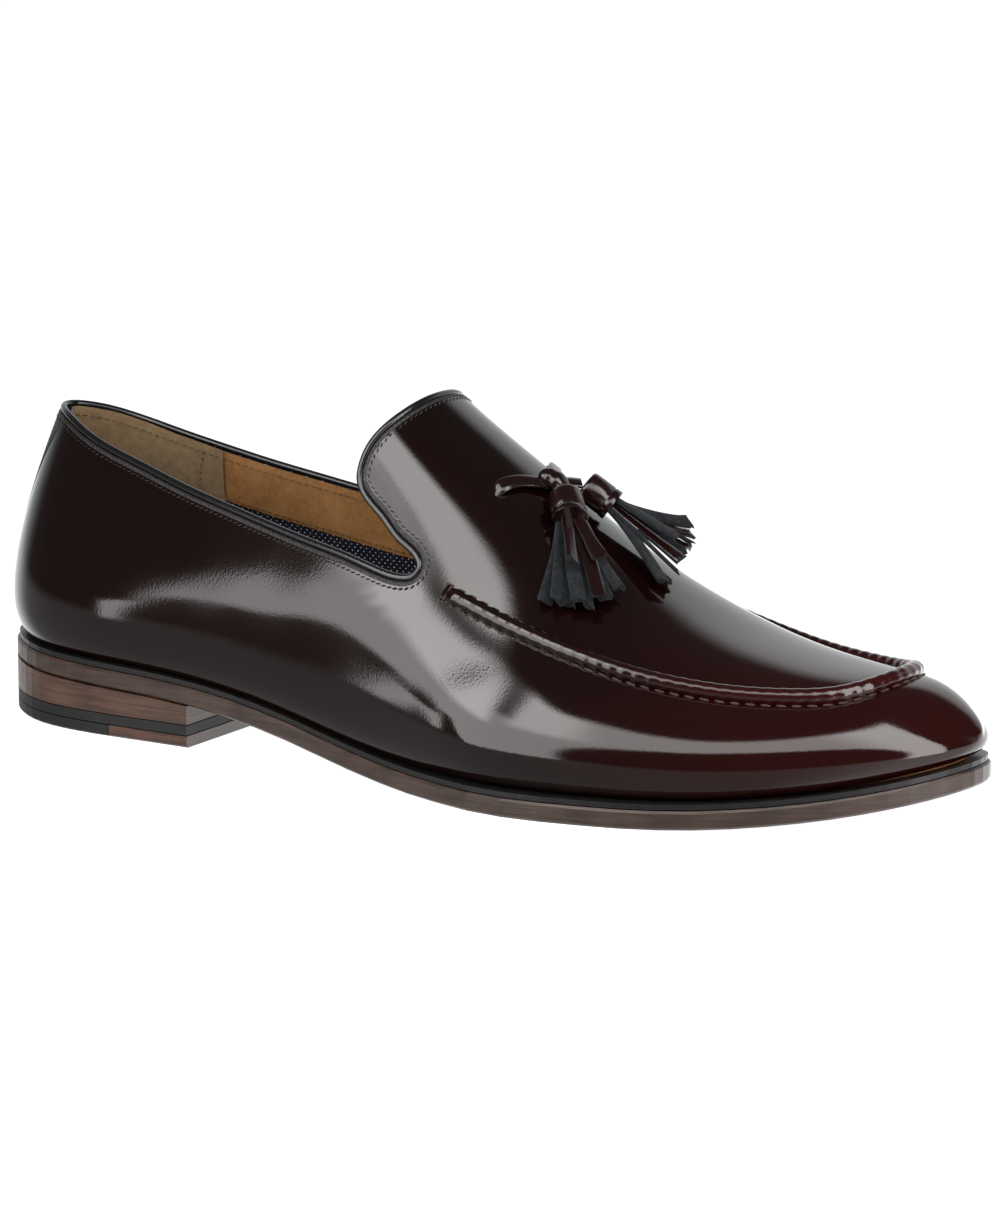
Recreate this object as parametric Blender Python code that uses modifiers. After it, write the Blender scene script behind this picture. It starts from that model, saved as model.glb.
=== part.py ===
# Tassel loafer, right shoe. Metres, X to the toe, Y to the inner side, Z up, floor at Z = 0.
# It is worked out from the back of the heel; finished meshes are moved to the origin under the heel rubber.
import bpy
import bmesh
import numpy as np
from math import pi, radians

# Driving sizes
LENGTH = 0.300
BALL_WIDTH = 0.104
SOLE_RISE = 0.016
SOLE_THICK = 0.005
SOLE_EDGE = 0.0006
WELT_THICK = 0.0014
GAP = 0.0003
WALL = 0.0018
CREST = 0.100
COUNTER = 0.052
CREST_PULL = 1.25
BACK_LEAN = 0.0132
LAST_BACK = -0.0002
LAST_TIP = 0.2995
TUCK = 0.0036
TUCK_ANGLE = 1.25
HEEL_LENGTH = 0.076
TOP_PIECE = 0.0032
MID_LIFT = 0.0027
RUBBER_LENGTH = 0.049
INSOLE_THICK = 0.0026
INSOLE_INSET = TUCK + WALL
WELT_INSET = 0.0007
WELT_BAND = 0.0085
BINDING_RADIUS = 0.0011
STRIP_WIDTH = 0.018
STRIP_THICK = 0.0013
RIDGE_WIDTH = 0.0042
RIDGE_HEIGHT = 0.0024
RIDGE_START = 0.160
RIDGE_TIP = 0.2765
TIE_WIDTH = 0.0042
TIE_THICK = 0.0013
CAP_RADIUS = 0.0046
CAP_LENGTH = 0.0095
FRINGE_LENGTH = 0.024
STRAND_WIDTH = 0.0036
STRAND_THICK = 0.0013

# Stations along the shoe as shares of its length; every table below has one value for each.
STATIONS = (0, .03, .08, .15, .25, .35, .45, .53, .60, .70, .80, .88, .94, .98, 1)
# Half widths of the sole, shares of the ball width
SOLE_OUTER = (0, .181, .276, .313, .323, .350, .403, .477, .543, .533, .456, .350, .246, .146, 0)
SOLE_INNER = (0, .181, .270, .312, .313, .293, .296, .336, .389, .452, .442, .378, .268, .152, 0)
# Underside of the sole, shares of its rise over the heel; below zero it lies flat on the floor
UNDERSIDE = (1, .967, .922, .866, .752, .490, .123, -.004, -.012, -.008, .040, .185, .380, .560, .660)
# Half widths of the upper where it bulges most, shares of the ball width
BULGE_OUTER = (0, .190, .285, .322, .335, .364, .413, .477, .532, .521, .447, .343, .240, .141, 0)
BULGE_INNER = (0, .190, .278, .322, .332, .326, .335, .364, .399, .444, .434, .371, .262, .147, 0)
# Height of that bulge over the feather edge, shares of the crest height
BULGE_RISE = (.11, .11, .11, .11, .11, .105, .10, .095, .09, .085, .075, .065, .055, .045, .04)
# Shoulder of each section, where the topline and then the apron run: half width and height
SHOULDER_OUTER = (0, .091, .149, .188, .238, .283, .330, .350, .359, .363, .303, .231, .159, .087, 0)
SHOULDER_INNER = (0, .093, .158, .203, .254, .297, .335, .350, .359, .363, .303, .231, .159, .087, 0)
SHOULDER_Z = (.86, .845, .80, .73, .665, .605, .553, .505, .446, .367, .320, .310, .300, .265, .220)
# Crest line over the foot; it is only a guide where the shoe is open
CREST_Z = (1.40, 1.42, 1.45, 1.45, 1.38, 1.20, .985, .835, .698, .503, .400, .366, .350, .30, .235)
CREST_SHIFT = (0, 0, 0, 0, 0, 0, 0, 0, 0, .005, .01, .015, .015, .005, 0)

# Edge of the opening seen from the side: shares of the length and of the crest height
RIM = (
    (-.040, .885), (.020, .866), (.040, .853), (.062, .838), (.091, .809), (.123, .776), (.174, .733),
    (.227, .692), (.277, .659), (.327, .627), (.375, .599), (.424, .573), (.461, .548), (.487, .539),
    (.501, .552), (.5053, .580), (.4985, .618), (.477, .658), (.458, .706), (.440, .747), (.430, .787),
    (.4295, .820), (.4345, .873), (.445, .921), (.455, .955), (.464, .985), (.480, 1.03),
)


def natural_spline(xs, ys):
    xs = np.array(xs, float)
    ys = np.array(ys, float)
    step = np.diff(xs)
    n = len(xs)
    left = np.zeros((n, n))
    right = np.zeros(n)
    left[0, 0] = left[-1, -1] = 1
    for i in range(1, n - 1):
        left[i, i - 1:i + 2] = step[i - 1], 2 * (step[i - 1] + step[i]), step[i]
        right[i] = 6 * ((ys[i + 1] - ys[i]) / step[i] - (ys[i] - ys[i - 1]) / step[i - 1])
    bend = np.linalg.solve(left, right)

    def value(x):
        x = np.asarray(x, float)
        i = np.clip(np.searchsorted(xs, x) - 1, 0, n - 2)
        a = (xs[i + 1] - x) / step[i]
        b = 1 - a
        cubic = (a ** 3 - a) * bend[i] + (b ** 3 - b) * bend[i + 1]
        return a * ys[i] + b * ys[i + 1] + cubic * step[i] ** 2 / 6

    return value


def turn(share):
    return np.arccos(np.clip(1 - 2 * np.asarray(share, float), -1, 1)) / pi


def lengthwise(table, unit):
    return natural_spline(turn(STATIONS), np.array(table) * unit)


sole_half = {-1: lengthwise(SOLE_OUTER, BALL_WIDTH), 1: lengthwise(SOLE_INNER, BALL_WIDTH)}
bulge_half = {-1: lengthwise(BULGE_OUTER, BALL_WIDTH), 1: lengthwise(BULGE_INNER, BALL_WIDTH)}
bulge_rise = lengthwise(BULGE_RISE, CREST)
shoulder_half = {-1: lengthwise(SHOULDER_OUTER, BALL_WIDTH), 1: lengthwise(SHOULDER_INNER, BALL_WIDTH)}
shoulder_z = lengthwise(SHOULDER_Z, CREST)
crest_z = lengthwise(CREST_Z, CREST)
crest_shift = lengthwise(CREST_SHIFT, CREST)
underside_share = natural_spline(STATIONS, UNDERSIDE)


def underside(x):
    return np.maximum(underside_share(np.clip(np.asarray(x) / LENGTH, 0, 1)), 0) * SOLE_RISE


def sole_x(u):
    return LENGTH * (1 - np.cos(pi * u)) / 2


def last_x(u):
    return LAST_BACK + (LAST_TIP - LAST_BACK) * (1 - np.cos(pi * u)) / 2


def offset_outline(along, half, u, side, inset):
    e = 1e-4
    dx = along(u + e) - along(u - e)
    dy = side * (half(u + e) - half(u - e))
    size = np.hypot(dx, dy)
    return along(u) + side * inset * dy / size, side * half(u) - side * inset * dx / size


def feather(x):
    return underside(x) + SOLE_THICK + WELT_THICK + 2 * GAP


def lean(x, z, low):
    share = np.clip((z - low) / COUNTER, 0, None)
    return BACK_LEAN * share ** 1.7 * np.clip(1 - x / LENGTH, 0, 1) ** 3


def upper_section(u, side, v):
    """Across and up from the bulge (v 0) over the shoulder (v 1/2) to the crest (v 1)."""
    bulge = np.array((side * bulge_half[side](u), feather(last_x(u)) + bulge_rise(u)))
    shoulder = np.array((crest_shift(u) + side * shoulder_half[side](u), shoulder_z(u)))
    crest = np.array((crest_shift(u), crest_z(u)))
    first = np.hypot(*(shoulder - bulge))
    second = np.hypot(*(crest - shoulder))
    slope = (shoulder - bulge) / first * second + (crest - shoulder) / second * first
    slope = slope / np.hypot(*slope)
    lower = v < .5
    t = np.where(lower, 2 * v, 2 * v - 1)
    begin = np.where(lower, bulge[:, None], shoulder[:, None])
    end = np.where(lower, shoulder[:, None], crest[:, None])
    leave = np.where(lower, np.array((0, first))[:, None], slope[:, None] * second)
    arrive = np.where(lower, slope[:, None] * first, np.array((-side * second * CREST_PULL, 0))[:, None])
    return (
        (2 * t ** 3 - 3 * t ** 2 + 1) * begin + (t ** 3 - 2 * t ** 2 + t) * leave
        + (3 * t ** 2 - 2 * t ** 3) * end + (t ** 3 - t ** 2) * arrive
    )


def surface(u, v, side):
    """Outside of the upper: v is -1 at the feather edge, 0 at the bulge, 1 at the crest."""
    low = feather(last_x(u)) + bulge_rise(u)
    if v < 0:
        angle = -v * TUCK_ANGLE
        inset = TUCK * (1 - np.cos(angle)) / (1 - np.cos(TUCK_ANGLE))
        x, y = offset_outline(last_x, bulge_half[side], u, side, inset)
        return np.array((x, y, low - (low - feather(x)) * np.sin(angle) / np.sin(TUCK_ANGLE)))
    y, z = upper_section(u, side, np.array((v,)))[:, 0]
    x = last_x(u)
    return np.array((x + lean(x, z, low), y, z))


def normal(u, v, side):
    e = 1e-3
    along = surface(u + e, v, side) - surface(u - e, v, side)
    around = surface(u, v + e, side) - surface(u, v - e, side)
    out = -side * np.cross(along, around)
    return out / np.linalg.norm(out)


def station_under(x, z):
    u = turn(x / LENGTH)
    for _ in range(12):
        here = last_x(u)
        low = feather(here) + bulge_rise(u)
        u = turn((x - lean(here, z, low) - LAST_BACK) / (LAST_TIP - LAST_BACK))
    return u


FINE = np.linspace(0, 1, 161)


def from_side(x, z, side):
    """Place (u, v) on the last that is seen at x, z from the side."""
    u = station_under(x, z)
    return u, np.interp(z, upper_section(u, side, FINE)[1], FINE)


def from_top(x, y):
    """Place (u, v, side) on the last that is seen at x, y from above."""
    z = CREST / 2
    for _ in range(12):
        u = station_under(x, z)
        side = 1 if y >= crest_shift(u) else -1
        across, up = upper_section(u, side, FINE)
        v = np.interp(-side * y, -side * across, FINE)
        z = np.interp(v, FINE, up)
    return u, v, side


# Edge of the opening in the side view
rim_points = np.array(RIM) * (LENGTH, CREST)
rim_run = np.concatenate(((0,), np.cumsum(np.hypot(*np.diff(rim_points, axis=0).T))))
rim_x = natural_spline(rim_run, rim_points[:, 0])
rim_z = natural_spline(rim_run, rim_points[:, 1])


def rim_at(s, away):
    """Rim in the side view, moved into the opening by a distance."""
    e = 1e-4
    dx = rim_x(s + e) - rim_x(s - e)
    dz = rim_z(s + e) - rim_z(s - e)
    size = np.hypot(dx, dz)
    return rim_x(s) - away * dz / size, rim_z(s) + away * dx / size


def on_shoe(x, z):
    u = station_under(x, z)
    return u > 0 and z < crest_z(u)


def last_inside(good, bad, away):
    for _ in range(30):
        middle = (good + bad) / 2
        if on_shoe(*rim_at(middle, away)):
            good = middle
        else:
            bad = middle
    return good


def rim_path(side, away, depth, count):
    """Points along the opening from the back seam to the crest, depth inside the surface."""
    centre = rim_run[-1] / 2
    first = last_inside(centre, 0, away)
    final = last_inside(centre, rim_run[-1], away)
    points = []
    for share in (1 - np.cos(pi * np.linspace(0, 1, 401))) / 2:
        u, v = from_side(*rim_at(first + (final - first) * share, away), side)
        points.append(surface(u, v, side) - normal(u, v, side) * depth)
    points = np.array(points)
    points[0, 1] = 0
    points[-1, 1] = crest_shift(turn(points[-1, 0] / LENGTH))
    return respaced(points, count)


def respaced(points, count):
    run = np.concatenate(((0,), np.cumsum(np.linalg.norm(np.diff(points, axis=0), axis=1))))
    return np.stack([np.interp(np.linspace(0, run[-1], count), run, axis) for axis in points.T], axis=1)


# Scene
for old in list(bpy.data.objects):
    bpy.data.objects.remove(old, do_unlink=True)


def collection(name):
    group = bpy.data.collections.new(name)
    bpy.context.scene.collection.children.link(group)
    return group


shoe = collection("tassel_loafer")
cutters = collection("cutters")


def material(name, colour, roughness, coat=0.0):
    made = bpy.data.materials.new(name)
    made.use_nodes = True
    shader = made.node_tree.nodes["Principled BSDF"]
    shader.inputs["Base Color"].default_value = (*colour, 1)
    shader.inputs["Roughness"].default_value = roughness
    shader.inputs["Coat Weight"].default_value = coat
    made.diffuse_color = (*colour, 1)
    return made


def add_object(name, bm, surface_material, group=shoe, crease=35):
    bmesh.ops.remove_doubles(bm, verts=bm.verts, dist=1e-6)
    bmesh.ops.translate(bm, verts=bm.verts, vec=(-RUBBER_LENGTH / 2, 0, 0))
    mesh = bpy.data.meshes.new(name)
    bm.to_mesh(mesh)
    bm.free()
    mesh.shade_smooth()
    mesh.set_sharp_from_angle(angle=radians(crease))
    made = bpy.data.objects.new(name, mesh)
    group.objects.link(made)
    if surface_material:
        mesh.materials.append(surface_material)
    return made


def hide(made):
    made.hide_render = True
    made.display_type = "WIRE"


def boolean(target, other, operation, name, itself=False):
    modifier = target.modifiers.new(name, "BOOLEAN")
    modifier.object = other
    modifier.operation = operation
    modifier.solver = "EXACT"
    modifier.use_self = itself


def skin(rows, closed=False, keep=None):
    """Quads between rows of points; rows run toward X and each turns over from -Y to +Y."""
    bm = bmesh.new()
    verts = [[bm.verts.new(p) for p in row] for row in rows]
    columns = len(verts[0])
    for i in range(len(verts) - 1):
        for k in range(columns if closed else columns - 1):
            if keep is None or keep(i, k):
                n = (k + 1) % columns
                bm.faces.new((verts[i][k], verts[i + 1][k], verts[i + 1][n], verts[i][n]))
    return bm, verts


# Upper: one shell over the last, opened by the topline seen from the side
AROUND = (-1, -.66, -.33, 0, .10, .20, .30, .40, .50, .58, .66, .75, .83, .91, 1)
UPPER_STATIONS = 50
BARE_LENGTH = .385
BARE_FROM = .66


def upper_shell():
    arc = [(v, -1) for v in AROUND] + [(v, 1) for v in AROUND[-2::-1]]
    stations = np.linspace(0, 1, UPPER_STATIONS + 1)

    def keep(i, k):
        return last_x(stations[i]) > BARE_LENGTH * LENGTH or min(arc[k][0], arc[k + 1][0]) < BARE_FROM

    return skin([[surface(u, v, side) for v, side in arc] for u in stations], keep=keep)[0]


cherry = material("cherry_leather", (.022, .004, .006), .16, .8)
upper = add_object("upper", upper_shell(), cherry)
wall = upper.modifiers.new("wall", "SOLIDIFY")
wall.thickness = WALL
wall.offset = -1
wall.use_even_offset = True


def opening_prism():
    run = np.linspace(0, rim_run[-1], 90)
    outline = [(float(rim_x(s)), float(rim_z(s))) for s in run]
    outline += [(.52 * LENGTH, 1.7 * CREST), (-.1 * LENGTH, 1.7 * CREST)]
    bm = bmesh.new()
    near = [bm.verts.new((x, -BALL_WIDTH, z)) for x, z in outline]
    far = [bm.verts.new((x, BALL_WIDTH, z)) for x, z in outline]
    bm.faces.new(near)
    bm.faces.new(far[::-1])
    for i in range(len(near)):
        j = (i + 1) % len(near)
        bm.faces.new((near[j], near[i], far[i], far[j]))
    bmesh.ops.recalc_face_normals(bm, faces=bm.faces)
    return bm


opening = add_object("opening_cutter", opening_prism(), None, cutters)
hide(opening)
boolean(upper, opening, "DIFFERENCE", "opening")


# Rolled binding on the rim
def rim_loop(away, depth, count):
    outer = rim_path(-1, away, depth, count)
    inner = rim_path(1, away, depth, count)
    return np.concatenate((outer, inner[-2:0:-1]))


def tube(points, radius):
    curve = bpy.data.curves.new("path", "CURVE")
    curve.dimensions = "3D"
    curve.bevel_depth = radius
    curve.bevel_resolution = 1
    line = curve.splines.new("POLY")
    line.points.add(len(points) - 1)
    for point, place in zip(line.points, points):
        point.co = (*place, 1)
    line.use_cyclic_u = True
    path = bpy.data.objects.new("path", curve)
    shoe.objects.link(path)
    swept = bpy.data.meshes.new_from_object(path.evaluated_get(bpy.context.evaluated_depsgraph_get()))
    bpy.data.objects.remove(path, do_unlink=True)
    bm = bmesh.new()
    bm.from_mesh(swept)
    return bm


black = material("black_binding", (.012, .011, .012), .32)
add_object("collar_binding", tube(rim_loop(GAP + BINDING_RADIUS, WALL / 2, 48), BINDING_RADIUS), black)


# Raised apron seam: bars at 1, tip of the apron at 0
RIDGE_TURNS = (0, .12, .25, .40, .55, .70, .85, 1)
RIDGE_HALF = (0, .096, .181, .246, .304, .349, .353, .338)
RIDGE_SECTION = ((-.5, 0), (-.48, .42), (-.27, .88), (0, 1), (.27, .88), (.48, .42), (.5, 0))
ridge_half = natural_spline(RIDGE_TURNS, np.array(RIDGE_HALF) * BALL_WIDTH)


def ridge_point(t):
    x = RIDGE_START + (RIDGE_TIP - RIDGE_START) * np.cos(pi * t / 2)
    side = 1 if t > 0 else -1
    return np.array((x, crest_shift(turn(x / LENGTH)) * 1.2 + side * ridge_half(abs(t))))


def over_surface(x, y, height):
    place = from_top(x, y)
    return surface(*place) + normal(*place) * height


def ridge_rows(count):
    places = respaced(np.array([ridge_point(t) for t in np.linspace(-1, 1, 201)]), count)
    rows = []
    for i, place in enumerate(places):
        before, after = places[max(i - 1, 0)], places[min(i + 1, count - 1)]
        start, end = over_surface(*before, 0), over_surface(*after, 0)
        out = normal(*from_top(*place))
        across = np.cross(out, end - start)
        across = across / np.linalg.norm(across) * RIDGE_WIDTH
        fade = min(1, .45 + .55 * min(i, count - 1 - i) / 1.5)
        rows.append([
            over_surface(*(place + across[:2] * a), GAP + RIDGE_HEIGHT * fade * h) for a, h in RIDGE_SECTION
        ])
    return rows


def capped(rows):
    bm, verts = skin(rows, closed=True)
    bm.faces.new(verts[0])
    bm.faces.new(verts[-1][::-1])
    bmesh.ops.recalc_face_normals(bm, faces=bm.faces)
    return bm


add_object("apron_seam", capped(ridge_rows(56)), cherry)


# Strip over the back seam, raised off the upper's own surface
def back_strip_rows():
    rows = []
    for share in np.linspace(0, 1, 12):
        row = []
        for y in np.linspace(-STRIP_WIDTH / 2, STRIP_WIDTH / 2, 9):
            side = 1 if y > 0 else -1
            v = .4
            for _ in range(6):
                near, far = 0, .25
                for _ in range(26):
                    u = (near + far) / 2
                    if abs(surface(u, v, side)[1]) < abs(y):
                        near = u
                    else:
                        far = u
                x = surface(u, v, side)[0]
                edge = np.interp(x, rim_points[:9, 0], rim_points[:9, 1]) - GAP
                top = np.interp(edge, upper_section(u, side, FINE)[1], FINE)
                v = -.8 + (top + .8) * share
            row.append(surface(u, v, side) + normal(u, v, side) * GAP)
        rows.append(row)
    return rows


tape = material("back_tape", (.010, .010, .011), .75)
strip = add_object("back_strip", skin(back_strip_rows())[0], tape)
raised = strip.modifiers.new("thickness", "SOLIDIFY")
raised.thickness = STRIP_THICK
raised.offset = 1
raised.use_even_offset = True


# Flat pieces of the bottom: rings of the outline at several heights, closed above and below
def slab(along, half, back, front, rows, count, hole=None):
    us = np.linspace(turn(back / LENGTH), turn(front / LENGTH), count)

    def ring(inset, height):
        sides = []
        for side, order in ((-1, us[::-1]), (1, us)):
            points = []
            for u in order:
                x, y = offset_outline(along, half[side], u, side, inset)
                x = np.clip(x, back if back > 0 else x, front if front < LENGTH else x)
                points.append((x, y, height(x)))
            sides += points
        return sides

    bm = bmesh.new()
    rings = [[bm.verts.new(p) for p in ring(inset, height)] for inset, height in rows]
    total = 2 * count
    for low, high in zip(rings, rings[1:]):
        for k in range(total):
            n = (k + 1) % total
            bm.faces.new((low[k], low[n], high[n], high[k]))
    if hole:
        for k in range(total):
            n = (k + 1) % total
            bm.faces.new((rings[-1][k], rings[-1][n], rings[0][n], rings[0][k]))
    else:
        for ring_verts, flip in ((rings[0], True), (rings[-1], False)):
            for k in range(count - 1):
                quad = (ring_verts[k], ring_verts[k + 1], ring_verts[total - 2 - k], ring_verts[total - 1 - k])
                bm.faces.new(quad[::-1] if flip else quad)
    bmesh.ops.remove_doubles(bm, verts=bm.verts, dist=1e-6)
    bmesh.ops.dissolve_degenerate(bm, edges=bm.edges, dist=1e-7)
    bmesh.ops.recalc_face_normals(bm, faces=bm.faces)
    return bm


def over_sole(height):
    return lambda x: float(underside(x)) + height


def level(height):
    return lambda x: height


def rounded(low, high, edge):
    return (edge, low), (0, lambda x: low(x) + edge), (0, lambda x: high(x) - edge), (edge, high)


tan = material("sock_leather", (.40, .20, .08), .45)
rand = material("black_welt", (.010, .009, .009), .4)
sole_brown = material("sole_brown", (.075, .038, .026), .42)
stack_brown = material("stack_brown", (.105, .048, .028), .45)
rubber = material("heel_rubber", (.008, .008, .009), .7)

foot = WELT_THICK + SOLE_THICK + 2 * GAP
plate = (
    (INSOLE_INSET, over_sole(foot)), (INSOLE_INSET, over_sole(foot + INSOLE_THICK)),
)
add_object("insole", slab(last_x, bulge_half, 0, LENGTH, plate, 42), tan)
band = (
    (WELT_BAND, over_sole(SOLE_THICK + GAP)), (WELT_INSET, over_sole(SOLE_THICK + GAP)),
    (WELT_INSET, over_sole(SOLE_THICK + GAP + WELT_THICK)), (WELT_BAND, over_sole(SOLE_THICK + GAP + WELT_THICK)),
)
add_object("welt", slab(sole_x, sole_half, 0, LENGTH, band, 42, hole=True), rand)
sole_rows = rounded(over_sole(0), over_sole(SOLE_THICK), SOLE_EDGE)
add_object("outsole", slab(sole_x, sole_half, 0, LENGTH, sole_rows, 42), sole_brown)

# Heel: stack under the sole, thin black lift, then the top piece in two materials
stack_foot = TOP_PIECE + MID_LIFT + 2 * GAP
stack = (0, level(stack_foot)), (0, over_sole(-GAP))
add_object("heel_stack", slab(sole_x, sole_half, 0, HEEL_LENGTH, stack, 20), stack_brown)
lift = (0, level(TOP_PIECE + GAP)), (0, level(TOP_PIECE + GAP + MID_LIFT))
add_object("heel_mid_lift", slab(sole_x, sole_half, 0, HEEL_LENGTH, lift, 20), rubber)
tread = (SOLE_EDGE, level(0)), (0, level(SOLE_EDGE)), (0, level(TOP_PIECE))
add_object("top_piece_rear", slab(sole_x, sole_half, 0, RUBBER_LENGTH, tread, 16), rubber)
add_object("top_piece_front", slab(sole_x, sole_half, RUBBER_LENGTH + GAP, HEEL_LENGTH, tread, 8), stack_brown)

# Tie: a flat thong from slit to slit over the crest with a knot on it, and two tassels hanging from it.
# Places over the foot: share of length, share of ball width, height in cap radii.
TIE_LINE = (
    (.5475, -.137, .22), (.553, -.105, .25), (.561, -.065, .30), (.570, -.020, .36),
    (.570, .028, .36), (.561, .065, .30), (.553, .105, .25), (.5475, .137, .22),
)
KNOT = ((.5615, -.012, .50), (.5660, -.012, .62), (.5730, -.008, .74), (.5800, -.004, .62), (.5845, -.002, .50))
KNOT_SWELL = (.45, .95, 1.05, .95, .45)
LEGS = (
    ((.574, -.008, .60), (.580, -.024, .85), (.5830, -.036, 1.04)),
    ((.574, .000, .60), (.5795, .014, .88), (.5838, .0285, 1.13)),
)
TASSELS = {
    "tassel_outer": (
        (.590, -.054, 1.16), (.6123, -.122, 1.16),
        ((.6245, -.284, .42), (.6430, -.268, .42), (.660, -.246, .50), (.668, -.207, .60), (.672, -.165, .75),
         (.632, -.200, 1.55), (.645, -.150, 1.50)),
    ),
    "tassel_inner": (
        (.5880, .041, 1.22), (.6165, .066, 1.16),
        ((.647, .212, 2.6), (.655, .212, 2.1), (.664, .183, 1.5), (.670, .135, 1.2), (.685, .045, .9),
         (.6885, -.036, .75), (.664, .090, 2.1)),
    ),
}


def spot(place):
    return over_surface(place[0] * LENGTH, place[1] * BALL_WIDTH, place[2] * CAP_RADIUS)


def out_at(place):
    return normal(*from_top(place[0] * LENGTH, place[1] * BALL_WIDTH))


def unit(vector):
    return vector / np.linalg.norm(vector)


def across(direction, out):
    side = unit(np.cross(out, direction))
    return side, unit(np.cross(direction, side))


def directions(points):
    return [unit(points[min(i + 1, len(points) - 1)] - points[max(i - 1, 0)]) for i in range(len(points))]


def ribbon(points, outs, widths, thick):
    rows = []
    for point, direction, out, width in zip(points, directions(points), outs, widths):
        side, up = across(direction, out)
        rows.append([
            point + side * width / 2 * a + up * thick / 2 * b for a, b in ((1, -1), (1, 1), (-1, 1), (-1, -1))
        ])
    return rows


def barrel(points, outs, radii, flatness, sides=12):
    rows = []
    turns = 2 * pi * np.arange(sides) / sides
    for point, direction, out, radius in zip(points, directions(points), outs, radii):
        side, up = across(direction, out)
        rows.append([point + radius * (side * np.cos(a) + up * flatness * np.sin(a)) for a in turns])
    return rows


def gather(parts):
    whole = bmesh.new()
    for rows in parts:
        bm = capped(rows)
        piece = bpy.data.meshes.new("piece")
        bm.to_mesh(piece)
        bm.free()
        whole.from_mesh(piece)
        bpy.data.meshes.remove(piece)
    return whole


def fused(name, body, parts, surface_material):
    made = add_object(name, capped(body), surface_material)
    other = add_object(name + "_parts", gather(parts), surface_material, cutters)
    hide(other)
    boolean(made, other, "UNION", "fuse", itself=True)
    return made


def strand(root, direction, out, end_place):
    end = spot(end_place)
    spread = (end - root) - direction * np.dot(end - root, direction)
    spread = spread / max(np.linalg.norm(spread), CAP_RADIUS)
    start = root - direction * CAP_RADIUS * .6 + spread * CAP_RADIUS * .45
    bend = root + direction * FRINGE_LENGTH * .3 + spread * CAP_RADIUS * .8
    t = np.linspace(0, 1, 5)[:, None]
    points = (1 - t) ** 2 * start + 2 * t * (1 - t) * bend + t ** 2 * end
    return ribbon(points, [out] * 5, STRAND_WIDTH * np.linspace(.85, 1.05, 5), STRAND_THICK)


cord_leather = material("tassel_leather", (.030, .006, .008), .25, .6)
tie_points = np.array([spot(place) for place in TIE_LINE])
tie_body = ribbon(tie_points, [out_at(place) for place in TIE_LINE], [TIE_WIDTH] * len(TIE_LINE), TIE_THICK)
knot_points = np.array([spot(place) for place in KNOT])
knot = barrel(knot_points, [out_at(place) for place in KNOT], TIE_WIDTH * .72 * np.array(KNOT_SWELL), .72, 10)
legs = [
    ribbon(np.array([spot(place) for place in leg]), [out_at(place) for place in leg], [TIE_WIDTH] * 3, TIE_THICK)
    for leg in LEGS
]
fused("tassel_tie", tie_body, [knot] + legs, cord_leather)

for name, (top, bottom, ends) in TASSELS.items():
    head, mouth = spot(top), spot(bottom)
    out = unit(out_at(top) + out_at(bottom))
    fall = unit(mouth - head)
    mouth = head + fall * CAP_LENGTH
    steps = np.array((0, .08, .5, 1))
    cap_points = head + fall * CAP_LENGTH * steps[:, None]
    cap = barrel(cap_points, [out] * 4, CAP_RADIUS * np.array((.86, .96, 1, 1.02)), .92)
    core_points = mouth + fall * CAP_LENGTH * np.array((-.4, .2, .55, .8))[:, None]
    core = barrel(core_points, [out] * 4, CAP_RADIUS * np.array((.75, .82, .66, .40)), .80, 8)
    fused(name, cap, [core] + [strand(mouth, fall, out, end) for end in ends], cord_leather)
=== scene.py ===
# Tassel loafer, right shoe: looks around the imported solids. Metres, X to the toe, Y to the inner side.
from math import cos, pi, radians, sin

import bmesh
import bpy
import numpy as np
from mathutils import Matrix, Vector


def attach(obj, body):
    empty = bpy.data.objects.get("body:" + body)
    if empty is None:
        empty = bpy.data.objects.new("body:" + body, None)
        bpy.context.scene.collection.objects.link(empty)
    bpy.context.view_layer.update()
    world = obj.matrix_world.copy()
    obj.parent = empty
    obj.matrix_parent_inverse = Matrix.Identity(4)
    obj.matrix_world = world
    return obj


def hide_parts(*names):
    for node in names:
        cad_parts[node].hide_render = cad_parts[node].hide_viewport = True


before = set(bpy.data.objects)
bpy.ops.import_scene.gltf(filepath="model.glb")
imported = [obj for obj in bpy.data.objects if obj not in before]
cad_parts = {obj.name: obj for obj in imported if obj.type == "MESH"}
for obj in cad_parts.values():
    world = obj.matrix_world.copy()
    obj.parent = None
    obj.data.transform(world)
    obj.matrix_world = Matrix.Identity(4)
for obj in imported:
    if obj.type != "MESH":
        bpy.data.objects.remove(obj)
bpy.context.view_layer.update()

# Sizes of the shoe, as its solids have them
LENGTH = 0.300
BALL_WIDTH = 0.104
CREST = 0.100
SOLE_RISE = 0.016
SOLE_THICK = 0.005
WELT_THICK = 0.0014
GAP = 0.0003
WALL = 0.0018
COUNTER = 0.052
CREST_PULL = 1.25
BACK_LEAN = 0.0132
LAST_BACK = -0.0002
LAST_TIP = 0.2995
TUCK = 0.0036
TUCK_ANGLE = 1.25
RUBBER_LENGTH = 0.049
CAP_RADIUS = 0.0046
RIDGE_START = 0.160
RIDGE_TIP = 0.2765
HEEL_MIDDLE = RUBBER_LENGTH / 2

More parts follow.
